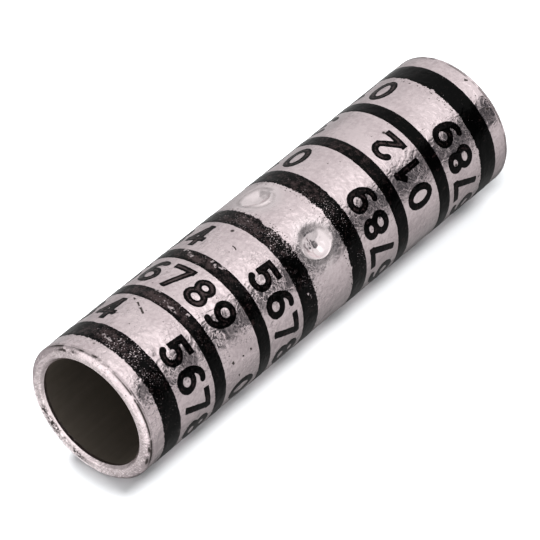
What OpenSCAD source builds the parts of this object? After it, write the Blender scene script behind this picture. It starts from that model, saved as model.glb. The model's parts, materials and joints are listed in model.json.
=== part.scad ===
// Compression splice: one plated copper tube that joins two stranded wires end to end.
// It stands on one end with +Z along the tube, and its origin is at the middle of that end.

/* [Barrel] */
// Length from end to end
barrel_length = 53; // [44:0.5:70]
// Diameter of the bore that takes the wire
bore_diameter = 11.4; // [9:0.1:14]
// Thickness of the tube's wall
wall_thickness = 1.45; // [1.2:0.05:2.2]
// Radius that breaks the outer edge of each end
end_round = 0.4; // [0.2:0.05:0.6]
// Depth of the flare that leads the wire into each mouth
mouth_chamfer = 0.3; // [0.1:0.05:0.5]

/* [Wire stop] */
// Angle between the two dimples that are punched from one side
dimple_spread = 64; // [50:1:80]
// Diameter of the dish that the punch's ball nose leaves, inside its crease
punch_diameter = 3.2; // [2.6:0.1:3.6]
// Depth of the dish below its crease
dish_depth = 0.4; // [0.25:0.05:0.5]
// Width of the shoulder that is drawn down around the dish
shoulder_width = 0.8; // [0.5:0.05:1]
// Depth of the shoulder from the outer surface to the crease
shoulder_depth = 0.25; // [0.15:0.05:0.35]
// Height of the bump that each dimple raises inside the bore
stop_height = 0.5; // [0.3:0.05:0.7]
// Length of bore that the punching draws in
stop_length = 6; // [5:0.5:8]
// Amount by which the bore is drawn in at mid-length
stop_draw = 0.12; // [0.1:0.01:0.2]

/* [Printed bands] */
// Bare rim between each end and its first band
rim_width = 2; // [1:0.1:3]
// Width of the band nearest each end
end_band_width = 2.4; // [1:0.1:3]
// Width of the two bands between crimp places
crimp_band_width = 1.6; // [1:0.1:2]
// Width of the band on each side of the wire stop
stop_band_width = 2.2; // [1:0.1:3]
// Bare metal between the dimples and the bands beside them
dimple_margin = 0.1; // [0:0.05:1]
// Places for a crimp in each half
crimps = 3; // [2:1:4]
// Thickness of the ink
ink_thickness = 0.05; // [0.03:0.01:0.1]

/* [Hidden] */
$fn = 96;

bore_r = bore_diameter / 2;
outer_r = bore_r + wall_thickness;
mid_wall_r = bore_r + wall_thickness / 2;
half_length = barrel_length / 2;
// A cutter reaches this far past the surface that it opens
past = 1;

// The drawn-in stretch is an arc that bulges into the bore
draw_arc_r = (pow(stop_length / 2, 2) + pow(stop_draw, 2)) / (2 * stop_draw);

// The bottom of a dish and the top of the bump under it, as distances from the tube's axis
dish_bottom_r = outer_r - shoulder_depth - dish_depth;
bump_top_r = bore_r - stop_height;
punch_r = punch_diameter / 2;
// Radius of the ball that is punch_diameter across at dish_depth
ball_r = (pow(punch_r, 2) + pow(dish_depth, 2)) / (2 * dish_depth);
// How far the shoulder spreads for each millimetre of height, outside and under the wall alike
shoulder_spread = shoulder_width / shoulder_depth;
// Opposed tools punch the two sides at once
punch_sides = [-90, 90];

// Bare gap at mid-length, where the dimples are
stop_gap = punch_diameter + 2 * (shoulder_width + dimple_margin);
// The crimp places share what the bands and bare stretches of one half leave
bare_and_bands = rim_width + end_band_width + (crimps - 1) * crimp_band_width + stop_band_width + stop_gap / 2;
crimp_place = (half_length - bare_and_bands) / crimps;

// What is cut from the tube's section at one end, with the bore to the left and the end at y = 0
module end_edges() {
    // Outer edge, rounded
    translate([outer_r - end_round, 0])
        difference() {
            translate([0, -past]) square([end_round + past, end_round + past]);
            translate([0, end_round]) circle(r = end_round);
        }
    // Mouth, flared
    polygon([
        [bore_r - past, -past],
        [bore_r + mouth_chamfer + past, -past],
        [bore_r - past, mouth_chamfer + past]
    ]);
}

// The tube's section to the right of its axis, drawn in towards the bore at mid-length
module barrel_section() {
    difference() {
        union() {
            translate([bore_r, 0]) square([wall_thickness, barrel_length]);
            intersection() {
                translate([bore_r - stop_draw + draw_arc_r, half_length]) circle(r = draw_arc_r);
                translate([0, half_length - stop_length]) square([mid_wall_r, 2 * stop_length]);
            }
        }
        end_edges();
        translate([0, barrel_length]) mirror([0, 1]) end_edges();
    }
}

// Places children at each dimple, with +X pointing out of the barrel and the origin on its axis
module at_dimples() {
    for (side = punch_sides, hand = [-1, 1])
        translate([0, 0, half_length]) rotate([0, 0, side + hand * dimple_spread / 2]) children();
}

// The punch's form: a ball nose at a distance from the tube's axis, then a shoulder that spreads outwards
module punch_form(nose_at, shoulder_height) {
    translate([nose_at, 0, 0])
        rotate([0, 90, 0]) {
            intersection() {
                translate([0, 0, ball_r]) sphere(r = ball_r);
                cylinder(h = dish_depth, r = punch_r);
            }
            translate([0, 0, dish_depth])
                cylinder(h = shoulder_height, r1 = punch_r, r2 = punch_r + shoulder_height * shoulder_spread);
        }
}

// Metal that the punch pushes into the bore, rooted in the wall
module bump() {
    intersection() {
        punch_form(bump_top_r, wall_thickness);
        cylinder(h = barrel_length, r = mid_wall_r, center = true);
    }
}

// What the punch leaves hollow on the outside
module dimple() {
    punch_form(dish_bottom_r, shoulder_depth + past);
}

module barrel() {
    color([0.78, 0.73, 0.74])
        difference() {
            union() {
                rotate_extrude() barrel_section();
                at_dimples() bump();
            }
            at_dimples() dimple();
        }
}

module band(from, width) {
    translate([outer_r, from]) square([ink_thickness, width]);
}

// The bands of one half, from its end to the gap at mid-length
module half_bands() {
    band(rim_width, end_band_width);
    for (i = [1:1:crimps - 1])
        band(rim_width + end_band_width + i * crimp_place + (i - 1) * crimp_band_width, crimp_band_width);
    band(half_length - stop_gap / 2 - stop_band_width, stop_band_width);
}

module ink_bands() {
    color([0.1, 0.1, 0.1])
        rotate_extrude() {
            half_bands();
            translate([0, barrel_length]) mirror([0, 1]) half_bands();
        }
}

barrel();
ink_bands();
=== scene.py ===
import json
import math

import bpy
import numpy as np
from mathutils import Matrix, Vector, noise


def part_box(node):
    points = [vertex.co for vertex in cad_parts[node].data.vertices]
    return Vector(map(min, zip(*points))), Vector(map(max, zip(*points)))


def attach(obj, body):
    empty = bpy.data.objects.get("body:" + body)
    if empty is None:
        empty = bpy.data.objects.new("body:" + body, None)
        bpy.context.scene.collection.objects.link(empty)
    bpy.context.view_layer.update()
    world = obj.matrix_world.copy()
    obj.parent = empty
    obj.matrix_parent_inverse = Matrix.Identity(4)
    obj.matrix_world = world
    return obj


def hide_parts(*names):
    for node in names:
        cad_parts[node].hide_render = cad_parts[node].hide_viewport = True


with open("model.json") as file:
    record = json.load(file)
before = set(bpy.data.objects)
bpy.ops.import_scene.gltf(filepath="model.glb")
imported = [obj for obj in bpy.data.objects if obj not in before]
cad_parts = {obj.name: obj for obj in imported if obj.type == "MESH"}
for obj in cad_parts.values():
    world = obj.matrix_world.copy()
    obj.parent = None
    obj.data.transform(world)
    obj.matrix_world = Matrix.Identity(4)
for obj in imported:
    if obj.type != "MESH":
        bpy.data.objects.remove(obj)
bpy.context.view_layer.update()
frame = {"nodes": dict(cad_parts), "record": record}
mm = 0.001  # lengths below are in millimetres where no note says metres

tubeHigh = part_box("barrel")[1]
outerRadius = tubeHigh.x / mm
midLength = tubeHigh.z / mm / 2
boreRadius = next(m["dims"]["r_mm"] for m in frame["record"]["mounts"] if m["kind"] == "bore")
print("frame loaded: tube radius", round(outerRadius, 3), "half length", round(midLength, 3))


# Shader maths

class Wire:  # an output socket of a node tree, so that shader maths reads as plain expressions
    def __init__(self, tree, socket=None):
        self.tree = tree
        self.socket = socket

    def add(self, kind, settings=(), inputs=(), out=0):
        node = self.tree.nodes.new("ShaderNode" + kind)
        for name, value in dict(settings).items():  # settings decide which sockets there are
            setattr(node, name, value)
        self.plug(node, inputs)
        return Wire(self.tree, node.outputs[out])

    def plug(self, node, inputs):
        for name, value in dict(inputs).items():
            socket = node.inputs[name]
            if isinstance(value, Wire):
                self.tree.links.new(value.socket, socket)
            elif socket.type == "RGBA":
                socket.default_value = (*value, 1.0)
            else:
                socket.default_value = value

    def other(self, name):  # another output of the same node
        return Wire(self.tree, self.socket.node.outputs[name])

    def painted(self, name):  # a number that the mesh carries at its points
        return self.add("Attribute", {"attribute_name": name}, (), "Fac")

    def math(self, operation, first, second=0.0):
        return self.add("Math", {"operation": operation}, {0: first, 1: second})

    def __add__(self, value):
        return self.math("ADD", self, value)

    def __radd__(self, value):
        return self.math("ADD", value, self)

    def __sub__(self, value):
        return self.math("SUBTRACT", self, value)

    def __rsub__(self, value):
        return self.math("SUBTRACT", value, self)

    def __mul__(self, value):
        return self.math("MULTIPLY", self, value)

    def __rmul__(self, value):
        return self.math("MULTIPLY", value, self)

    def __abs__(self):
        return self.math("ABSOLUTE", self)

    def most(self, value):
        return self.math("MAXIMUM", self, value)

    def step(self, low, high):  # 0 below low, 1 above high, smooth between
        limits = {"Value": self, "From Min": low, "From Max": high}
        return self.add("MapRange", {"interpolation_type": "SMOOTHSTEP"}, limits)

    def tint(self, first, second):  # colours mixed by this mask
        return self.add("Mix", {"data_type": "RGBA"}, {0: self, 6: first, 7: second}, 2)

    def vector(self, operation, value, out=0):
        return self.add("VectorMath", {"operation": operation}, {0: self, 1: value}, out)

    def dot(self, direction):
        return self.vector("DOT_PRODUCT", direction, "Value")

    def upward(self):
        return self.add("SeparateXYZ", (), {"Vector": self}, "Z")

    def turned(self, x, y, z):
        inputs = {"Vector": self, "Rotation": [math.radians(a) for a in (x, y, z)]}
        return self.add("VectorRotate", {"rotation_type": "EULER_XYZ"}, inputs)

    def noise(self, perMm, detail=2.0, distortion=0.0):
        values = {"Vector": self, "Scale": perMm, "Detail": detail, "Distortion": distortion}
        return self.add("TexNoise", (), values)

    def streaks(self, turn, perMm, detail):  # noise drawn out into lines
        return self.turned(*turn).vector("MULTIPLY", perMm).noise(1.0, detail)

    def spots(self, perMm, radius, share):  # round spots in a share of the cells
        core = 0.4 * radius  # solid as far as this
        away = self.add("TexVoronoi", (), {"Vector": self, "Scale": perMm}, "Distance")
        chance = self.add("SeparateColor", (), {"Color": away.other("Color")}, "Red")
        chosen = self.math("LESS_THAN", chance, share)
        return (1 - away.step(core * perMm, radius * perMm)) * chosen

    def dash(self, turn, height, length, width, slant):  # a straight mark on the tube's side
        turn = math.radians(turn)
        slant = math.radians(slant)
        out = Vector((math.cos(turn), math.sin(turn), 0))
        along = Vector((-out.y * math.cos(slant), out.x * math.cos(slant), math.sin(slant)))
        away = self.vector("SUBTRACT", out * outerRadius + Vector((0, 0, midLength + height)))
        wander = self.noise(2.5, 2.0) * 0.3 - 0.15
        lengthways = abs(away.dot(along)).step(0.4 * length, 0.5 * length)
        sideways = abs(away.dot(along.cross(out)) + wander).step(0.3 * width, 0.5 * width)
        thisSide = away.dot(out).step(-2.0, -1.9)  # and not the far side of the tube
        return (1 - lengthways) * (1 - sideways) * thisSide


def newMaterial(name):
    material = bpy.data.materials.new(name)
    material.use_nodes = True
    return material, Wire(material.node_tree)


def placeOn(start):  # the shaded spot in the shared frame, in millimetres
    return start.add("TexCoord", (), (), "Object").vector("MULTIPLY", (1 / mm,) * 3)


def principled(material, start, inputs):
    start.plug(material.node_tree.nodes["Principled BSDF"], inputs)


def bumped(start, height):  # a height in millimetres as a normal
    return start.add("Bump", (), {"Distance": mm, "Height": height})


# Tin plate, the cut ends and the bore

tinLook = {
    "bright": (0.685, 0.588, 0.602),
    "dull": (0.575, 0.487, 0.502),
    # dark tone for pits, grime and painted shade
    "stain": (0.07, 0.058, 0.055),
    "burnished": (0.76, 0.68, 0.69),  # brighter tone where the punch has rubbed, with a painted highlight
    "roughness": 0.15,
    "dullRoughness": 0.08,  # what dull patches, pits, painted grime and shade, and the rubbed dimples add to it
    "pitRoughness": 0.3,
    "grimeRoughness": 0.3,
    "burnishRoughness": 0.03,
    "cloudsPerMm": 0.35,  # slow and quick changes from bright to dull
    "grainPerMm": 2.4,
    "dullFrom": (0.40, 0.64),  # levels of noise between which a mask rises, also below
    "pits": (0.5, 0.26, 0.16),  # cells per millimetre, radius, share of the cells
    "finePits": (1.5, 0.10, 0.18),
    "finePitShare": 0.7,
    "pitDepth": 0.02,
    "peelPerMm": 1.5,  # fine orange peel of the plating
    "peelDepth": 0.058,
    "swellPerMm": 0.55,  # slow waves of the drawn tube
    "swellDepth": 0.05,
    "handledPerMm": 0.45,  # patches that have been handled
    "handledFrom": (0.42, 0.56),
    "handledLower": 0.35,  # how much of that the lower half shows
    "curlPerMm": 1.7,  # curling lines there
    "curlWide": 0.05,
    "curlDepth": 0.018,
    "crinklePerMm": 1.25,  # crinkles there
    "crinkleDepth": 0.09,
    "grimePerMm": 1.1,  # how the painted grime and shade break up
    "grimeFrom": (0.32, 0.50),
    "grimeDepth": 0.01,
    "scratchTurn": (20, 35, 10),  # degrees
    "scratchPerMm": (9.0, 0.3, 9.0),
    "scratchFrom": (0.70, 0.76),
    "scratchDepth": 0.02,
    "scratchedPerMm": 0.5,  # patches that have scratches
    "scratchedFrom": (0.45, 0.6),
    "smoothed": 0.7,  # how much of the relief burnishing takes away
    "scuffs": (  # degrees about the axis, height from mid-length, length, width, slant
        (-62.5, 17.8, 0.4, 0.24, 150),
        (-69.5, 18.3, 0.7, 0.26, 150),
        (-76.5, 18.8, 1.0, 0.32, 150),
        (-84.5, 7.0, 0.7, 0.16, 160),
        (-153.9, 14.5, 0.40, 0.34, 30),
        (-153.9, 12.0, 0.30, 0.24, 0),
        (-154.5, 13.1, 0.28, 0.20, 60),
        (-168.1, 13.9, 0.34, 0.22, 10),
        (143.0, 26.1, 3.4, 0.20, 0),
        (-96.9, -25.8, 0.40, 0.30, 30),
        (-124.6, -25.5, 0.50, 0.34, 60),
    ),
    "specksPerMm": 5.5,  # specks of ink
    "specksFrom": (0.60, 0.66),
    "spatter": ((-21.95, 0.55), (-2.3, 0.4), (2.4, 0.4)),  # heights where they lie, and their spread
}


def tinSurface(place, look):  # colour, roughness and height of the plate at any spot
    clouds = place.noise(look["cloudsPerMm"], 3.0)
    grain = place.noise(look["grainPerMm"], 3.0)
    dull = (clouds * 0.5 + grain * 0.5).step(*look["dullFrom"])
    pits = place.spots(*look["pits"]).most(place.spots(*look["finePits"]) * look["finePitShare"])
    tone = pits.tint(dull.tint(look["bright"], look["dull"]), look["stain"])
    rough = look["roughness"] + dull * look["dullRoughness"] + pits * look["pitRoughness"]
    peel = place.noise(look["peelPerMm"], 1.0, 0.8)
    swell = place.noise(look["swellPerMm"], 1.0)
    upper = place.upward().step(0.7 * midLength, 1.3 * midLength)
    handled = place.noise(look["handledPerMm"], 1.0).step(*look["handledFrom"])
    handled = handled * (look["handledLower"] + (1 - look["handledLower"]) * upper)
    curl = abs(place.noise(look["curlPerMm"], 2.0, 0.5) - 0.5).step(0.0, look["curlWide"])
    curl = (1 - curl) * handled
    crinkle = place.noise(look["crinklePerMm"], 1.0, 0.6) * handled
    height = peel * look["peelDepth"] + swell * look["swellDepth"] + crinkle * look["crinkleDepth"]
    height = height - curl * look["curlDepth"] - pits * look["pitDepth"]
    return tone, rough, height


def tinPlateMaterial(look):
    material, start = newMaterial("tinPlate")
    place = placeOn(start)
    tone, rough, relief = tinSurface(place, look)
    # the painted mask darkens with dirt and with painted shade in the tool line, at the crowns and on the
    # dimples' shoulders; scuffs and ink specks join it
    grime = start.painted("grime") * place.noise(look["grimePerMm"], 4.0).step(*look["grimeFrom"])
    for scuff in look["scuffs"]:
        grime = grime.most(place.dash(*scuff))
    specks = place.noise(look["specksPerMm"], 2.0).step(*look["specksFrom"])
    upward = place.upward()
    for height, spread in look["spatter"]:
        away = abs(upward - (midLength + height))
        grime = grime.most(specks * (1 - away.step(0.3 * spread, spread)))
    burnish = start.painted("burnish")
    # in the dimples the tone is painted brighter: a painted highlight over the punch's rubbing
    tone = grime.tint(burnish.tint(tone, look["burnished"]), look["stain"])
    scratched = place.noise(look["scratchedPerMm"], 1.0).step(*look["scratchedFrom"]) * (1 - burnish)
    scratch = place.streaks(look["scratchTurn"], look["scratchPerMm"], 1.0).step(*look["scratchFrom"])
    relief = relief * (1 - look["smoothed"] * burnish)
    relief = relief - scratch * scratched * look["scratchDepth"] - grime * look["grimeDepth"]
    principled(material, start, {
        "Base Color": tone,
        "Metallic": 1.0,
        "Roughness": rough + grime * look["grimeRoughness"] + burnish * look["burnishRoughness"],
        "Normal": bumped(start, relief),
    })
    return material


cutLook = {
    "bright": (0.72, 0.63, 0.638),
    "dull": (0.60, 0.515, 0.525),
    "dark": (0.05, 0.04, 0.038),
    "roughness": 0.2,
    "grainRoughness": 0.1,
    "wornRoughness": 0.3,
    "cloudsPerMm": 0.9,
    "dullFrom": (0.40, 0.62),
    "sawTurn": (0, 0, 25),  # degrees, the way that the saw went
    "sawPerMm": (5.0, 0.5, 5.0),
    "sawDepth": 0.04,
    "grainPerMm": 3.5,
    "grainDepth": 0.04,
    "pits": (1.4, 0.13, 0.25),  # cells per millimetre, radius, share of the cells
    "pitShare": 0.7,
    "grimePerMm": 1.3,
    "grimeFrom": (0.40, 0.6),
    "flecksPerMm": 2.6,  # dark flecks where the burr is torn
    "flecksFrom": (0.48, 0.55),
    "fleckDepth": 0.03,
    "tornFrom": (0.1, 0.6),
    "gatherPerMm": 0.9,  # where they gather
    "gatherFrom": (0.30, 0.44),
}


def cutEndMaterial(look):
    material, start = newMaterial("cutEnd")
    place = placeOn(start)
    saw = place.streaks(look["sawTurn"], look["sawPerMm"], 2.0)
    grain = place.noise(look["grainPerMm"], 3.0)
    flecks = place.noise(look["flecksPerMm"], 4.0, 1.2).step(*look["flecksFrom"])
    flecks = flecks * start.painted("torn").step(*look["tornFrom"])
    flecks = flecks * place.noise(look["gatherPerMm"]).step(*look["gatherFrom"])
    # the painted mask here holds dirt and painted shade at the crown
    grime = start.painted("grime") * place.noise(look["grimePerMm"], 3.0).step(*look["grimeFrom"])
    worn = grime.most(flecks)
    pits = place.spots(*look["pits"]) * look["pitShare"]
    dull = (place.noise(look["cloudsPerMm"], 3.0) * 0.6 + saw * 0.4).step(*look["dullFrom"])
    relief = saw * look["sawDepth"] + grain * look["grainDepth"] - flecks * look["fleckDepth"]
    principled(material, start, {
        "Base Color": worn.most(pits).tint(dull.tint(look["bright"], look["dull"]), look["dark"]),
        "Metallic": 1.0,
        "Roughness": look["roughness"] + grain * look["grainRoughness"] + worn * look["wornRoughness"],
        "Normal": bumped(start, relief),
    })
    return material


boreLook = {
    "wall": (0.275, 0.24, 0.205),
    "tarnish": (0.23, 0.20, 0.168),
    "tarnishFrom": (0.35, 0.65),
    "roughness": 0.5,
    "cloudRoughness": 0.1,
    "cloudsPerMm": 0.3,
    "drawnPerMm": (1.6, 1.6, 0.12),  # lines that the drawing die leaves
    "drawnDepth": 0.006,
}


def boreMaterial(look):
    material, start = newMaterial("boreWall")
    place = placeOn(start)
    drawn = place.streaks((0, 0, 0), look["drawnPerMm"], 2.0)
    clouds = place.noise(look["cloudsPerMm"], 2.0)
    tarnish = (drawn * 0.4 + clouds * 0.6).step(*look["tarnishFrom"])
    principled(material, start, {
        "Base Color": tarnish.tint(look["wall"], look["tarnish"]),
        "Metallic": 1.0,
        "Roughness": look["roughness"] + clouds * look["cloudRoughness"],
        "Normal": bumped(start, drawn * look["drawnDepth"]),
    })
    return material


inkLook = {
    "solid": (0.0003, 0.0003, 0.0003),
    "thin": (0.034, 0.019, 0.019),
    "haze": 0.08,  # share of bare metal in thin ink
    "roughness": 0.16,
    "gloss": 0.05,
    "relief": 0.7,  # how much of the plate's relief shows
    "depth": 0.006,  # of bare spots in the ink
    "gatherPerMm": 0.55,  # where bare spots gather
    "flecksPerMm": 8.5,
    "fleckShares": (0.35, 0.2),  # what gathering and wear add to the noise
    "flecksFrom": (1.0, 1.1),
    "rubTurn": (0, 25, 40),  # degrees, the way of fine rubbed lines
    "rubPerMm": (8.0, 0.4, 8.0),
    "rubShares": (0.2, 0.1),
    "rubFrom": (0.99, 1.03),
    "filmNoise": ((1.8, 3.0, 1.6), (6.5, 2.0, 1.2)),  # scale per millimetre, detail, share
    "filmGather": 0.4,
    "filmFrom": (1.8, 2.6),
    "crumbsPerMm": 3.2,  # how the ink crumbles in a scuff
    "crumbsFrom": (0.47, 0.60),
    "crumbShare": 0.75,
    "scuffs": (  # degrees about the axis, height from mid-length, length, width, slant
        (-60.0, 9.9, 2.0, 0.55, 157),
        (-84.5, 9.9, 1.0, 0.45, 162),
        (-91.0, 9.7, 0.8, 0.50, 0),
        (-90.5, 16.75, 1.6, 0.50, 176),
        (-71.7, 15.7, 1.0, 0.60, 0),
        (-102.5, 16.1, 0.4, 0.40, 0),
        (-106.0, 2.85, 1.2, 0.30, 166),
        (-150.0, 3.4, 1.0, 0.30, 20),
        (-76.0, 23.5, 1.8, 0.40, 165),
        (-86.0, 22.9, 1.4, 0.36, 150),
    ),
}


def printInkMaterial(look, tin):
    material, start = newMaterial("printInk")
    place = placeOn(start)
    tone, rough, height = tinSurface(place, tin)
    wear = start.painted("wear")
    thin = start.painted("thin")
    gather = place.noise(look["gatherPerMm"], 2.0)
    gathered, worn = look["fleckShares"]
    fleck = place.noise(look["flecksPerMm"], 2.0) + gather * gathered + wear * worn
    gathered, worn = look["rubShares"]
    rub = place.streaks(look["rubTurn"], look["rubPerMm"], 1.0) + gather * gathered + wear * worn
    bare = fleck.step(*look["flecksFrom"]).most(rub.step(*look["rubFrom"]))
    crumbled = place.noise(look["crumbsPerMm"], 4.0).step(*look["crumbsFrom"]) * look["crumbShare"]
    for scuff in look["scuffs"]:
        bare = bare.most(place.dash(*scuff) * crumbled)
    film = thin + gather * look["filmGather"]
    for perMm, detail, share in look["filmNoise"]:
        film = film + place.noise(perMm, detail) * share
    film = film.step(*look["filmFrom"])
    bare = bare.most(film * thin * look["haze"])
    ink = film.tint(look["solid"], look["thin"])
    principled(material, start, {
        "Base Color": bare.tint(ink, tone),
        "Metallic": bare,
        "Roughness": look["roughness"] * (1 - bare) + rough * bare,
        "Specular IOR Level": look["gloss"],
        "Normal": bumped(start, height * look["relief"] - bare * look["depth"]),
    })
    return material


tinPlate = tinPlateMaterial(tinLook)
cutEnd = cutEndMaterial(cutLook)
boreWall = boreMaterial(boreLook)
printInk = printInkMaterial(inkLook, tinLook)
print("materials made")


# Mesh helpers

def onTube(radius, angle, height):  # millimetres from the axis, radians, millimetres from mid-length
    radius, angle, height = np.broadcast_arrays(radius, angle, height)
    points = np.stack([radius * np.cos(angle), radius * np.sin(angle), height + midLength], axis=-1)
    return points.reshape(-1, 3)


def tubeNoise(angle, height, perMm, seed):  # noise over the tube's surface, without a seam
    spots = onTube(outerRadius, angle, height) * perMm + (seed, 0, 0)
    shape = np.broadcast(angle, height).shape
    return np.array([noise.noise(Vector(s)) for s in spots]).reshape(shape)


def closedGrid(rows, columns):  # quads of a grid that joins up both ways
    row, column = np.meshgrid(np.arange(rows), np.arange(columns), indexing="ij")
    nextRow = (row + 1) % rows
    nextColumn = (column + 1) % columns
    corners = [row * columns + column, row * columns + nextColumn]
    corners += [nextRow * columns + nextColumn, nextRow * columns + column]
    return np.stack(corners, axis=-1).reshape(-1, 4)


def newPiece(name, points, faces, materials):
    mesh = bpy.data.meshes.new(name)
    mesh.from_pydata((np.asarray(points) * mm).tolist(), [], [list(f) for f in faces])
    for material in materials:
        mesh.materials.append(material)
    mesh.polygons.foreach_set("use_smooth", [True] * len(mesh.polygons))
    mesh.set_sharp_from_angle(angle=math.radians(45))
    piece = bpy.data.objects.new(name, mesh)
    bpy.context.scene.collection.objects.link(piece)
    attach(piece, "root")
    print(name, "made:", len(mesh.vertices), "points,", len(mesh.polygons), "faces")
    return piece


def paint(piece, name, values):  # one number per point, which a material reads by name
    layer = piece.data.attributes.new(name, "FLOAT", "POINT")
    layer.data.foreach_set("value", np.asarray(values, np.float32).ravel())


def softMin(first, second, soft):
    share = np.clip(0.5 + 0.5 * (second - first) / soft, 0, 1)
    return second * (1 - share) + first * share - soft * share * (1 - share)


def bell(value, centre, width):
    return np.exp(-((value - centre) / width) ** 2)


def plateau(value, width):  # near 1 within the width, near 0 beyond it
    return 1 / (1 + (value / width) ** 8)


def turnFrom(angle, degrees):  # radians from a place on the tube, the short way round
    return (angle - math.radians(degrees) + math.pi) % (2 * math.pi) - math.pi


# Barrel: one plated tube, with the wire stop punched at mid-length

barrelLook = {
    "columns": 448,
    "crowd": (1.3, 0.36),  # how much closer the columns are at a dimple, and over how many radians
    "upperCrown": (1.0, 0.42),  # rounded edge of each end, across the wall and along the tube
    "lowerCrown": (0.28, 0.22),
    "upperLine": (0.58, 0.02, 0.25),  # line that the cut-off tool leaves: from the end, depth, painted shade in its groove
    "lowerLine": (0.34, 0.01, 0.9),
    "upperGrime": (0.16, 0.14, 0.7),  # radians round the crown where a darker band is painted, partly dirt and partly painted shade at the edge's turn, their spread, its share
    "lowerGrime": (0.40, 0.6, 1.0),
    "smudges": (  # on the upper end: degrees, spread, place along its section, width, share
        (-47, 12, -0.25, 0.14, 1.5),
        (-55, 9, 0.24, 0.20, 2.2),
        (-70, 4, -0.31, 0.15, 1.2),
        (-82, 4, -0.46, 0.15, 1.3),
        (-89, 3, -0.50, 0.15, 1.2),
        (-98, 4, -0.43, 0.15, 1.4),
        (-136, 32, -0.28, 0.12, 1.8),
        (-172, 16, -0.32, 0.10, 2.2),
        (-170, 3.5, -0.04, 0.16, 2.0),
        (176, 4, 0.05, 0.16, 2.0),
    ),
    "mouthFlare": 0.3,
    "burr": 0.012,
    "burrNoise": (0.9, 3.0),  # scale per millimetre, seed
    "torn": 0.10,  # the burr where the saw broke through
    "tornNoise": (3.2, 9.0),
    "tornSide": 62,  # degrees, where that is
    "tornSpread": 0.6,
}

stopLook = {
    "angles": (-122, -58, 58, 122),
    "reach": (0.6, 0.7),  # radians that a dimple reaches round the tube, outside and inside
    "punchRadius": 1.42,
    "dishDepth": 0.42,
    "flat": 0.32,  # flat on the punch's nose, and how soft its edge is
    "nose": 0.2,
    "noseShift": (0.0, -0.25),  # round the tube and along it
    "noseUneven": 0.3,
    "shoulder": 0.45,
    "shoulderDepth": 0.25,
    "bump": 0.5,  # height of the bump inside
    "draw": 0.12,  # how far the bore is drawn in
    "drawHalf": 3.0,
    "ridge": 0.02,  # metal raised round the dish
    "ridgeWide": 0.18,
    "sink": 0.15,  # metal drawn down beside the dish
    "sinkFrom": -0.1,  # distances from the dish's edge, also below
    "sinkWide": 0.55,
    "crest": (0.0, 1.0, 1.0, 0.0),  # which dimples have metal thrown up on their other side
    "crestRise": 0.04,
    "crestAt": (0.05, 0.15),  # distance and width
    "crestFall": 0.14,  # the metal drawn down behind it
    "fallFrom": (0.08, 0.32),
    "fallWide": 0.7,
    "lift": 0.7,  # how much of the shoulder is missing on that side of the others
    "liftFrom": (-0.3, 0.0),
    "heave": 0.038,  # metal pushed up there
    "heaveFrom": 0.1,
    "heaveWide": 0.55,
    "highest": 0.04,  # above the tube's side
    "hammered": 0.035,  # unevenness of the dish
    "hammeredAt": (0.9, 0.9),  # distance from the dish's middle and width, also for the lip
    "hammerNoise": ((1.3, 31.0, 1.0), (2.8, 47.0, 0.6)),  # scale per millimetre, seed, share
    "lip": 0.006,  # unevenness around it
    "lipAt": (2.2, 0.4),
    "marks": 0.35,  # painted shade on the shoulder
    "marksAt": (0.3, 0.2),
    "burnish": 2.4,  # radius that the punch has rubbed, where the tone is also painted brighter
    "soft": 0.08,  # rounding of the dimple's edge, outside and inside
    "softInside": 0.12,
}

plated, cut, bored = range(3)  # finishes, in the order of the barrel's materials


def halfSection(look, which):  # radius, height, finish, burr, and grime with painted shade, from mid-length to the bore
    crownWide, crownTall = look[which + "Crown"]
    lineFrom, lineDepth, grooveShade = look[which + "Line"]
    dirtAt, dirtWide, dirt = look[which + "Grime"]
    end = midLength
    line = end - lineFrom
    flare = boreRadius + look["mouthFlare"]
    punched = np.arange(0, 2.85, 0.08)  # rows lie close together at the dimples
    plain = np.linspace(3.2, end - 2.4, 17)
    burred = np.linspace(end - 1.8, line - 0.12, 4)
    rows = [(outerRadius, h, plated, 0, 0) for h in np.concatenate([punched, plain])]
    rows += [(outerRadius, h, plated, 0.2, 0) for h in burred]
    # the tool line, its groove darkened with painted shade
    rows += [
        (outerRadius, line - 0.1, plated, 0.5, 0.1 * grooveShade),
        (outerRadius - lineDepth, line - 0.04, plated, 0.5, 0.8 * grooveShade),
        (outerRadius - lineDepth, line + 0.04, plated, 0.5, 0.8 * grooveShade),
        (outerRadius, line + 0.12, plated, 0.5, 0.3 * grooveShade),
    ]
    # the crown, with a darker band painted on it: partly dirt, partly painted shade at the edge's turn
    for turn in np.radians((0, 8, 17, 27, 38, 50, 62, 75, 90)):
        out = outerRadius - crownWide * (1 - math.cos(turn))
        up = end - crownTall * (1 - math.sin(turn))
        finish = plated if turn < 0.9 else cut
        rows.append((out, up, finish, min(4 * turn, 1), bell(turn, dirtAt, dirtWide) * dirt))
    rows.append((flare + 0.04, end, cut, 0.9, 0))
    for drop in (0.02, 0.12, 0.22, 0.3):
        rows.append((flare - drop, end - drop, cut, 0.7 - 2 * drop, 0))
    straight = np.linspace(end - 0.6, 3.4, 12)
    drawnIn = np.arange(3.2, -0.05, -0.2)
    rows += [(boreRadius, h, bored, 0, 0) for h in np.concatenate([straight, drawnIn])]
    return rows


def wholeSection(look):
    upper = halfSection(look, "upper")
    lower = halfSection(look, "lower")
    lower = [(r, -h, f, b, g) for r, h, f, b, g in reversed(lower[1:-1])]
    return np.array(upper + lower)


def punchForm(away, look):  # height of the punch's form above its nose
    blunt = look["nose"]
    steep = look["dishDepth"] / (math.hypot(look["punchRadius"] - look["flat"], blunt) - blunt)
    dish = steep * (np.hypot(np.maximum(away - look["flat"], 0), blunt) - blunt)
    shoulder = look["dishDepth"] + (away - look["punchRadius"]) * look["shoulderDepth"] / look["shoulder"]
    return np.where(away < look["punchRadius"], dish, shoulder)


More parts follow.
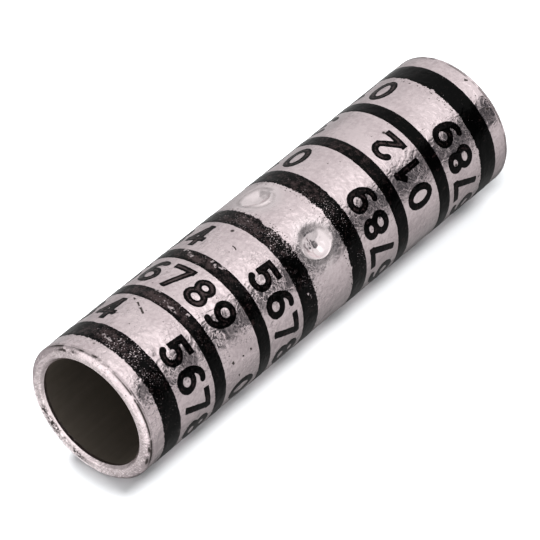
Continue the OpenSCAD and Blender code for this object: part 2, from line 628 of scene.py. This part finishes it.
def punchedOutside(angle, height, look):  # radius, painted shade, and the rubbed mask with its painted highlight, of the side with its dimples
    shape = np.broadcast(angle, height).shape
    radius = np.full(shape, outerRadius)
    grime = np.zeros(shape)
    burnish = np.zeros(shape)
    hammer = np.zeros(shape)
    for perMm, seed, share in look["hammerNoise"]:
        hammer = hammer + share * tubeNoise(angle, height, perMm, seed)
    nose = outerRadius - look["shoulderDepth"] - look["dishDepth"]
    aside, along = look["noseShift"]
    fallFull = look["fallFrom"][1]
    for centre, crest in zip(look["angles"], look["crest"]):
        turn = turnFrom(angle, centre)
        across = outerRadius * np.sin(turn)
        away = np.hypot(across, height)
        beyond = away - look["punchRadius"]
        inner = np.clip(1 - away / look["punchRadius"], 0, 1)
        shifted = np.hypot(across - aside * inner, height - along * inner)
        shifted = shifted * (1 + look["noseUneven"] * hammer * inner)
        side = across / np.maximum(away, 0.1)
        oneSide = np.clip(side, 0, 1)
        otherSide = np.clip(-side, 0, 1)
        lifted = max(crest, look["lift"]) * otherSide * np.interp(beyond, look["liftFrom"], (0, 1))
        level = nose + punchForm(shifted, look) + look["ridge"] * bell(beyond, 0, look["ridgeWide"])
        level = level + look["hammered"] * hammer * bell(away, *look["hammeredAt"])
        level = level + look["shoulderDepth"] * lifted
        heaved = bell(np.maximum(beyond, look["heaveFrom"]), look["heaveFrom"], look["heaveWide"])
        pulled = look["heave"] * (1 - crest) * otherSide * heaved
        pulled = pulled - look["sink"] * oneSide * bell(beyond, look["sinkFrom"], look["sinkWide"])
        pushed = softMin(radius + pulled, level / np.cos(turn), look["soft"])
        fall = np.interp(beyond, look["fallFrom"], (0, 1))
        fall = fall * bell(np.maximum(beyond, fallFull), fallFull, look["fallWide"])
        thrown = look["crestRise"] * bell(beyond, *look["crestAt"]) - look["crestFall"] * fall
        pushed = pushed + crest * otherSide * thrown
        pushed = pushed + look["lip"] * hammer * bell(away, *look["lipAt"])
        near = np.broadcast_to(np.abs(turn) < look["reach"][0], shape)
        # a ring of painted shade on the dimple's shoulder
        marks = look["marks"] * bell(beyond, *look["marksAt"])
        grime = np.where(near, np.maximum(grime, marks), grime)
        burnish = np.where(near, np.maximum(burnish, plateau(away, look["burnish"])), burnish)
        radius = np.where(near, np.minimum(pushed, outerRadius + look["highest"]), radius)
    return radius, grime, burnish


def punchedInside(angle, height, look):  # radius of the bore, drawn in and with its four bumps
    radius = boreRadius - look["draw"] * np.clip(1 - (height / look["drawHalf"]) ** 2, 0, 1) + 0 * angle
    for centre in look["angles"]:
        turn = turnFrom(angle, centre)
        away = np.hypot(boreRadius * np.sin(turn), height)
        level = boreRadius - look["bump"] + punchForm(away, look)
        near = np.broadcast_to(np.abs(turn) < look["reach"][1], radius.shape)
        radius = np.where(near, softMin(radius, level / np.cos(turn), look["softInside"]), radius)
    return radius


def crowdedAngles(look, stop):  # columns of the barrel's grid, closer together at the dimples
    more, wide = look["crowd"]
    turn = np.linspace(-math.pi, math.pi, 2881)  # every eighth of a degree
    crowd = np.ones(len(turn))
    for centre in stop["angles"]:
        crowd = crowd + more * plateau(turnFrom(turn, centre), wide)
    total = np.concatenate([[0], np.cumsum(crowd[:-1])])
    return np.interp(np.arange(look["columns"]) * total[-1] / look["columns"], total, turn)


def makeBarrel(look, stop):
    section = wholeSection(look)
    radius, height, finish, burr, grime = (column[:, None] for column in section.T)
    angle = crowdedAngles(look, stop)[None, :]
    torn = burr * bell(turnFrom(angle, look["tornSide"]), 0, look["tornSpread"])
    rough = look["burr"] * burr * (1 + tubeNoise(angle, height, *look["burrNoise"]))
    rough = rough + look["torn"] * torn * np.maximum(tubeNoise(angle, height, *look["tornNoise"]), 0)
    inward = outerRadius - radius - midLength + height  # along the upper end's section, 0 at its corner
    for turn, spread, at, wide, share in look["smudges"]:
        smudge = share * bell(turnFrom(angle, turn), 0, math.radians(spread)) * bell(inward, at, wide)
        grime = np.maximum(grime, smudge)
    outside, marks, burnish = punchedOutside(angle, height, stop)
    inside = punchedInside(angle, height, stop)
    onSide = (radius > outerRadius - 1e-6) & (np.abs(height) < midLength - 1)  # between the crowns
    full = np.where(onSide, outside, np.where(finish == bored, inside, radius))
    points = onTube(full - rough, angle, height - np.sign(height) * rough * (finish != bored))
    faces = closedGrid(len(section), look["columns"])
    piece = newPiece("barrelShell", points, faces, [tinPlate, cutEnd, boreWall])
    strips = np.repeat(finish.astype(int), look["columns"], axis=1)
    piece.data.polygons.foreach_set("material_index", strips.ravel())
    paint(piece, "grime", np.where(onSide, np.maximum(marks, grime), grime + 0 * angle))
    paint(piece, "burnish", np.where(onSide, burnish, 0))
    paint(piece, "torn", torn)
    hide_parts("barrel")


makeBarrel(barrelLook, stopLook)


# Printed bands: rings of ink with ragged edges

fadeLook = {
    "side": -76,  # degrees, where the ink has thinned most
    "spread": 0.6,
    "least": 0.3,
    "most": 1.5,
}


def faded(angle, look=fadeLook):
    share = bell(turnFrom(angle, look["side"]), 0, look["spread"])
    return look["least"] + (look["most"] - look["least"]) * share


bandLook = {
    "columns": 720,
    "film": 0.018,
    "bead": 0.008,  # ink squeezed up along the edges
    "foot": 0.006,  # height of the edges
    "under": 0.01,  # how far the ink is rooted in the plate
    "profile": (  # height by name, share of the band's width
        ("under", 0.0), ("foot", 0.0), ("crest", 0.08), ("film", 0.25),
        ("film", 0.75), ("crest", 0.92), ("foot", 1.0), ("under", 1.0),
    ),
    "raggedLow": (0.04, 0.03, 0.03, 0.04, 0.12, 0.03, 0.04, 0.06),
    "raggedHigh": (0.15, 0.03, 0.04, 0.14, 0.04, 0.03, 0.04, 0.16),
    "wear": (0.1, -0.2, 0.0, 0.5, 0.6, 0.3, 0.35, 0.6),
    "thin": (0.0, 0.1, 0.25, 0.32, 0.38, 0.38, 0.42, 0.36),
    "thinAcross": ((0, 0.2, 0.8, 1), (0.3, 1, 1, 0.3)),  # shares of the width, how thin the ink is there
    "handled": (-86, -112, -112, -108, -102, -90, -85, -98),  # degrees, where fingers have rubbed each
    "handledSpread": 0.5,  # radians
    "handledWear": 0.4,
    "edgeWear": (  # how much more the lower and the upper edge are worn there
        (0, 0), (0, 0), (0, 0), (0, 0.4), (0.35, 0), (0, 0), (0, 0), (0, 0.15),
    ),
    "edgeReach": 0.6,  # share of the width
    "chipped": (0, 0, 0, 1.2, 1.2, 0, 0, 0),  # how much more ragged the edges are there
}


def bandEdges():  # lower and upper edge of each band, from its solid
    corners = frame["nodes"]["ink_bands"].data.vertices
    heights = sorted({round(v.co.z / mm, 3) for v in corners})
    return [(low - midLength, high - midLength) for low, high in zip(heights[0::2], heights[1::2])]


def raggedEdge(angle, height, amount, seed):  # how far an edge is eaten back
    coarse = np.abs(tubeNoise(angle, height, 3.0, seed))
    fine = np.abs(tubeNoise(angle, height, 7.0, seed + 5))
    bites = np.maximum(tubeNoise(angle, height, 1.1, seed + 11) - 0.15, 0)
    return amount * (1.2 * coarse + 1.08 * fine + 2.0 * bites)


def makeBands(look):
    angle = np.linspace(0, 2 * math.pi, look["columns"], endpoint=False)
    rise = {
        "under": -look["under"],
        "foot": look["foot"],
        "film": look["film"],
        "crest": look["film"] + look["bead"],
    }
    radius = np.array([[outerRadius + rise[name]] for name, share in look["profile"]])
    share = np.array([[share] for name, share in look["profile"]])
    nearLow = np.clip(1 - share / look["edgeReach"], 0, 1)
    nearHigh = np.clip(1 - (1 - share) / look["edgeReach"], 0, 1)
    thinness = np.interp(share, *look["thinAcross"])
    points, faces, wear, thin = [], [], [], []
    for i, (low, high) in enumerate(bandEdges()):
        handled = bell(turnFrom(angle, look["handled"][i]), 0, look["handledSpread"])
        chipped = 1 + look["chipped"][i] * handled
        start = low + raggedEdge(angle, low, look["raggedLow"][i] * chipped, 20.0 + i)
        stop = high - raggedEdge(angle, high, look["raggedHigh"][i] * chipped, 60.0 + i)
        faces.append(closedGrid(len(radius), look["columns"]) + sum(len(p) for p in points))
        points.append(onTube(radius, angle[None, :], start + (stop - start) * share))
        lowWear, highWear = look["edgeWear"][i]
        rubbed = look["handledWear"] + lowWear * nearLow + highWear * nearHigh
        wear.append((look["wear"][i] + rubbed * handled).ravel())
        thin.append((look["thin"][i] * faded(angle) * thinness).ravel())
    piece = newPiece("bandRings", np.concatenate(points), np.concatenate(faces), [printInk])
    paint(piece, "wear", np.concatenate(wear))
    paint(piece, "thin", np.concatenate(thin))
    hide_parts("ink_bands")


makeBands(bandLook)


# Plain numbers printed between the bands

numeralLook = {
    "width": 2.4,
    "height": 3.45,
    "stroke": 0.70,
    "pitch": 23.2,  # degrees from one figure to the next
    "groups": ("56789", "012", "34"),
    "cell": 0.09,  # grid that a figure's outline is found on
    "margin": 0.15,
    "film": 0.014,
    "bead": 0.004,
    "beadAt": (0.1, 0.09),  # distance from the outline and width
    "foot": 0.006,
    "under": 0.01,
    "ragged": 0.03,
    "raggedNoise": (3.0, 90.0),  # scale per millimetre, seed
    "wear": 0.1,
    "thin": 0.6,
    "thinFrom": (0.12, 0.32),  # distances from the outline
}

numeralRows = {  # zone from the lower end: reading direction, angle of the first figure's edge
    "lowerNumerals": {0: (1, 138.2), 1: (1, 46.6), 2: (1, 140.5)},
    "upperNumerals": {4: (-1, -106.5), 5: (-1, -16.0), 6: (-1, -107.8)},
}


def arc(x, y, wide, tall, first, last):
    turns = np.radians(np.linspace(first, last, 19))
    return [(x + wide * math.cos(t), y + tall * math.sin(t)) for t in turns]


figures = {  # centre lines of the strokes, in a box 1 wide and 1 tall
    "0": [arc(0.5, 0.5, 0.5, 0.5, 0, 360)],
    "1": [[(0.2, 0.78), (0.55, 1.0), (0.55, 0.0)]],
    "2": [arc(0.5, 0.72, 0.48, 0.28, 165, -30) + [(0.0, 0.0), (1.0, 0.0)]],
    "3": [arc(0.47, 0.755, 0.44, 0.245, 150, -90), arc(0.47, 0.26, 0.5, 0.26, 90, -150)],
    "4": [[(0.72, 0.0), (0.72, 1.0), (0.0, 0.3), (1.0, 0.3)]],
    "5": [[(0.93, 1.0), (0.14, 1.0), (0.08, 0.52)] + arc(0.46, 0.32, 0.52, 0.32, 130, -150)],
    "6": [arc(0.5, 0.3, 0.5, 0.3, 0, 360), arc(0.72, 0.36, 0.72, 0.64, 175, 75)],
    "7": [[(0.0, 1.0), (1.0, 1.0), (0.35, 0.0)]],
    "8": [arc(0.5, 0.765, 0.42, 0.235, 0, 360), arc(0.5, 0.265, 0.5, 0.265, 0, 360)],
    "9": [arc(0.5, 0.7, 0.5, 0.3, 0, 360), arc(0.28, 0.64, 0.72, 0.64, -5, -105)],
}


def strokeDistance(figure, x, y, look):  # distance of grid points from a figure's centre lines
    wide = look["width"] - look["stroke"]
    tall = look["height"] - look["stroke"]
    nearest = np.full(x.shape, 9.0)
    for line in figures[figure]:
        ends = np.array(line) * (wide, tall) - (wide / 2, tall / 2)
        for (ax, ay), (bx, by) in zip(ends[:-1], ends[1:]):
            length = math.hypot(bx - ax, by - ay)
            along = ((x - ax) * (bx - ax) + (y - ay) * (by - ay)) / length
            aside = np.abs((y - ay) * (bx - ax) - (x - ax) * (by - ay)) / length
            beyond = np.maximum(np.maximum(-along, along - length), 0)
            straight = length > look["stroke"]  # a straight stroke ends square
            away = np.maximum(aside, beyond) if straight else np.hypot(aside, beyond)
            nearest = np.minimum(nearest, away)
    outside = np.maximum(np.abs(x) - wide / 2, np.abs(y) - tall / 2)
    return np.maximum(nearest, outside)


def outlinedCells(inside, x, y):  # the part of each grid cell where inside is positive
    spots, index, cells = [], {}, []

    def spot(key, px, py, depth):
        if key not in index:
            index[key] = len(spots)
            spots.append((px, py, depth))
        return index[key]

    rows, columns = inside.shape
    for r in range(rows - 1):
        for c in range(columns - 1):
            corners = [(r, c), (r, c + 1), (r + 1, c + 1), (r + 1, c)]
            levels = [inside[k] for k in corners]
            if max(levels) <= 0:
                continue
            cell = []
            for k in range(4):
                here = corners[k]
                there = corners[(k + 1) % 4]
                a = levels[k]
                b = levels[(k + 1) % 4]
                if a > 0:
                    cell.append((spot(here, x[here], y[here], a), False))
                if (a > 0) != (b > 0):
                    t = a / (a - b)
                    px = x[here] + t * (x[there] - x[here])
                    py = y[here] + t * (y[there] - y[here])
                    cell.append((spot(frozenset((here, there)), px, py, 0.0), True))
            cells.append(cell)
    return np.array(spots), cells


def inkSolid(spots, cells, place, look, offset):  # a closed film of ink over the outlined cells
    depth = spots[:, 2]
    rise = np.where(depth <= 0, look["foot"], look["film"] + look["bead"] * bell(depth, *look["beadAt"]))
    top = place(spots, outerRadius + rise)
    under = place(spots, outerRadius - look["under"])
    count = len(spots)
    faces = []
    for cell in cells:
        loop = [offset + i for i, onEdge in cell]
        faces.append(loop)
        faces.append([i + count for i in reversed(loop)])
        for (i, edgeHere), (j, edgeThere) in zip(cell, cell[1:] + cell[:1]):
            if edgeHere and edgeThere:  # the outline runs here
                faces.append([offset + j, offset + i, offset + i + count, offset + j + count])
    return np.concatenate([top, under]), faces, np.concatenate([depth, depth])


def numeralPlaces(look):  # each figure with its angle from the start of the text, in degrees
    spare = (360 - look["pitch"] * sum(len(g) for g in look["groups"])) / len(look["groups"])
    turn = math.degrees(look["width"] / outerRadius) / 2
    for group in look["groups"]:
        for figure in group:
            yield figure, turn
            turn += look["pitch"]
        turn += spare


def makeNumerals(name, zones, look):
    edges = bandEdges()
    halfWide = look["width"] / 2 + look["margin"]
    halfTall = look["height"] / 2 + look["margin"]
    across = np.arange(-halfWide, halfWide, look["cell"])
    upward = np.arange(-halfTall, halfTall, look["cell"])
    x, y = np.meshgrid(across, upward)
    points, faces, thin = [], [], []
    total = 0
    for zone, (way, first) in zones.items():
        centre = (edges[zone][1] + edges[zone + 1][0]) / 2
        for figure, turn in numeralPlaces(look):
            middle = math.radians(first + way * turn)

            def place(spots, radius):
                return onTube(radius, middle + way * spots[:, 0] / outerRadius, centre + way * spots[:, 1])

            turns = middle + way * x / outerRadius
            grain = tubeNoise(turns, centre + way * y, *look["raggedNoise"])
            inside = look["stroke"] / 2 - strokeDistance(figure, x, y, look) + look["ragged"] * grain
            spots, cells = outlinedCells(inside, x, y)
            solid, film, depth = inkSolid(spots, cells, place, look, total)
            points.append(solid)
            faces += film
            thin.append(faded(middle) * np.interp(depth, look["thinFrom"], (0, 1)))
            total += len(solid)
    piece = newPiece(name, np.concatenate(points), faces, [printInk])
    paint(piece, "thin", look["thin"] * np.concatenate(thin))
    paint(piece, "wear", np.full(total, look["wear"]))


for name, zones in numeralRows.items():
    makeNumerals(name, zones, numeralLook)


# Stage: white floor along the tube's side, a light tent with a dark slit, and the camera

tentLook = {
    "radius": 0.7,  # metres
    "columns": 180,
    "glow": (  # degrees about the tube's axis, brightness of the cloth
        (-180, 0.76), (-172, 0.84), (-163, 0.88), (-122, 1.08), (-113, 1.12), (-90, 1.12), (-60, 1.03),
        (-25, 0.89), (0, 0.80), (16, 0.56), (30, 0.54), (45, 0.62), (60, 0.46), (75, 0.18), (87, 0.10),
        (98, 0.24), (107, 0.36), (127, 0.41), (165, 0.68), (180, 0.76),
    ),
    "slit": (-171, -157, -122, -113),  # where the cloth hangs open, with its soft edges
    "slitGlow": (0.016, 0.020, 0.024),
    "panel": (-124, -108, -90, -66),  # a brighter strip of cloth
    "panelGlow": 0.42,
    "sheet": (55, 61, 72, 79),  # where a white sheet lies before the near end
    "sheetGlow": 1.4,
    "rows": (  # height in metres, shares of slit, panel, sheet and upper cloth, upper cloth's brightness
        (-1.1, 0, 0, 0, 0, 0.5),
        (-1.0, 0, 0, 0, 0, 0.5),
        (-0.85, 1, 0, 0, 0, 0.5),
        (-0.56, 0.97, 0, 0, 0, 0.5),
        (-0.38, 0.75, 1.1, 0, 0, 0.5),
        (-0.2, 0.45, 1.1, 0, 0, 0.5),
        (-0.06, 0, 1, 1, 0, 0.5),
        (0.1, 0, 0, 1, 1, 0.5),
        (0.28, 0, 0, 1, 1, 0.5),
        (0.4, 0, 0, 0, 1, 0.5),
        (0.58, 0, 0, 0, 1, 0.5),
        (0.7, 0, 0, 0, 1, 1.3),
        (1.1, 0, 0, 0, 1, 1.4),
    ),
    "front": ((-180, 1.15), (-60, 1.15), (-20, 0), (130, 0), (180, 1.15)),  # upper cloth's least brightness
    "roofGlow": 1.6,
}


def stageMesh(name, points, faces):
    mesh = bpy.data.meshes.new(name)
    mesh.from_pydata([tuple(p) for p in points], [], [tuple(f) for f in faces])
    made = bpy.data.objects.new(name, mesh)
    bpy.context.scene.collection.objects.link(made)
    return made


def coverWith(made, material, start, shader):
    start.plug(material.node_tree.nodes["Material Output"], {"Surface": shader})
    made.data.materials.append(material)


def makeTent(look):
    turns = np.linspace(-180, 180, look["columns"] + 1)
    cloth = np.interp(turns, *zip(*look["glow"]))
    opened = np.interp(turns, look["slit"], (0, 1, 1, 0))
    panel = np.interp(turns, look["panel"], (0, 1, 1, 0)) * look["panelGlow"]
    sheet = np.interp(turns, look["sheet"], (0, 1, 1, 0))
    front = np.interp(turns, *zip(*look["front"]))
    ring = [(look["radius"] * math.cos(t), look["radius"] * math.sin(t)) for t in np.radians(turns)]
    points, glow = [], []
    for height, slitShare, panelShare, sheetShare, upperShare, upperGlow in look["rows"]:
        points += [(x, y, midLength * mm + height) for x, y in ring]
        level = cloth + panel * panelShare
        level = level + (np.maximum(front, upperGlow) - level) * upperShare
        level = level + (look["sheetGlow"] - level) * sheet * sheetShare
        share = (opened * slitShare)[:, None]
        glow.append(level[:, None] * (1 - share) + np.array(look["slitGlow"]) * share)
    count = len(turns)
    faces = []
    for row in range(len(look["rows"]) - 1):
        for i in range(row * count, row * count + count - 1):
            faces.append((i + 1, i, i + count, i + 1 + count))
    rim = points[-count:-1]
    faces.append(range(len(points), len(points) + len(rim)))
    glow.append(np.full((len(rim), 3), look["roofGlow"]))
    tent = stageMesh("lightTent", points + rim, faces)
    glow = np.concatenate(glow)
    layer = tent.data.attributes.new("glow", "FLOAT_COLOR", "POINT")
    layer.data.foreach_set("color", np.column_stack([glow, np.ones(len(glow))]).ravel())
    material, start = newMaterial("tentCloth")
    level = start.add("Attribute", {"attribute_name": "glow"}, (), "Color")
    coverWith(tent, material, start, start.add("Emission", (), {"Color": level, "Strength": 1.0}))
    tent.visible_camera = False
    tent.visible_shadow = False


floorLook = {
    "side": 102.2,  # degrees, the side of the tube that lies on the floor
    "gap": 0.06,
    "half": 0.13,  # metres, also below
    "fade": (0.06, 0.12),  # how far from the tube the floor gives way to the white room
    "colour": (0.66, 0.673, 0.687),
    "lampAway": 0.096,
    "lamps": (  # degrees from straight above the floor, across the tube and along it, size, power
        (-26.6, 7.2, 0.031, 0.118),
        (52.6, 7.2, 0.031, 0.17),
    ),
}


def makeFloor(look):
    side = math.radians(look["side"])
    out = Vector((math.cos(side), math.sin(side), 0))
    across = Vector((-out.y, out.x, 0))
    middle = out * (outerRadius + look["gap"]) * mm + Vector((0, 0, midLength * mm))
    corners = [(-1, -1), (-1, 1), (1, 1), (1, -1)]
    points = [middle + across * a * look["half"] + Vector((0, 0, b * look["half"])) for a, b in corners]
    floor = stageMesh("paleFloor", points, [(0, 1, 2, 3)])
    material, start = newMaterial("paleFloor")
    behind = start.add("NewGeometry", (), (), "Backfacing")
    away = start.add("TexCoord", (), (), "Object").vector("DISTANCE", middle, "Value")
    pale = start.add("BsdfDiffuse", (), {"Color": look["colour"]})
    clear = start.add("BsdfTransparent")
    gone = behind.most(away.step(*look["fade"]))
    coverWith(floor, material, start, start.add("MixShader", (), {0: gone, 1: pale, 2: clear}))
    floor.visible_diffuse = False
    floor.visible_glossy = False
    floor.visible_transmission = False
    floor.visible_shadow = False
    return floor


def makeFloorLamps(look, floor):  # they light the floor alone, so that the tube's shadow falls on it
    floorOnly = bpy.data.collections.new("floorOnly")
    floorOnly.objects.link(floor)
    for side, along, size, power in look["lamps"]:
        lamp = bpy.data.lights.new("floorLamp", "AREA")
        lamp.shape = "DISK"
        lamp.size = size
        lamp.energy = power
        lampObject = bpy.data.objects.new("floorLamp", lamp)
        bpy.context.scene.collection.objects.link(lampObject)
        above = math.radians(look["side"] + 180 + side)
        lean = math.radians(along)
        away = Vector((math.cos(above) * math.cos(lean), math.sin(above) * math.cos(lean), math.sin(lean)))
        lampObject.location = Vector((0, 0, midLength * mm)) + away * look["lampAway"]
        lampObject.rotation_euler = away.to_track_quat("Z", "Y").to_euler()
        lampObject.light_linking.receiver_collection = floorOnly
        lampObject.visible_camera = False


cameraLook = {
    "azimuth": -22.8,  # degrees
    "elevation": 34.9,
    "roll": -129.26,
    "lens": 297.1,
    "sensor": 36,
    "distance": 416.55,  # millimetres, from the spot that it aims at
    "aimRight": -0.53,  # that spot, from the tube's middle
    "aimUp": -0.76,
    "farthest": 10,  # metres that it sees
}


def makeCamera(look):
    azimuth = math.radians(look["azimuth"])
    elevation = math.radians(look["elevation"])
    flat = math.cos(elevation)
    back = Vector((math.sin(azimuth) * flat, -math.cos(azimuth) * flat, math.sin(elevation)))
    facing = (-back).to_track_quat("-Z", "Y").to_matrix()
    turn = facing @ Matrix.Rotation(math.radians(look["roll"]), 3, "Z")
    aim = Vector((0, 0, midLength)) + turn @ Vector((look["aimRight"], look["aimUp"], 0))
    data = bpy.data.cameras.new("photoCamera")
    data.lens = look["lens"]
    data.sensor_width = look["sensor"]
    data.clip_end = look["farthest"]
    camera = bpy.data.objects.new("photoCamera", data)
    bpy.context.scene.collection.objects.link(camera)
    camera.matrix_world = Matrix.Translation((aim + back * look["distance"]) * mm) @ turn.to_4x4()
    bpy.context.scene.camera = camera


def makeWorld():
    world = bpy.data.worlds.new("whiteRoom")
    world.use_nodes = True
    start = Wire(world.node_tree)
    start.plug(world.node_tree.nodes["Background"], {"Color": (1, 1, 1), "Strength": 1.0})
    bpy.context.scene.world = world


makeTent(tentLook)
makeFloorLamps(floorLook, makeFloor(floorLook))
makeCamera(cameraLook)
makeWorld()
bpy.context.scene.view_settings.view_transform = "Standard"
print("stage, lamps and camera made")
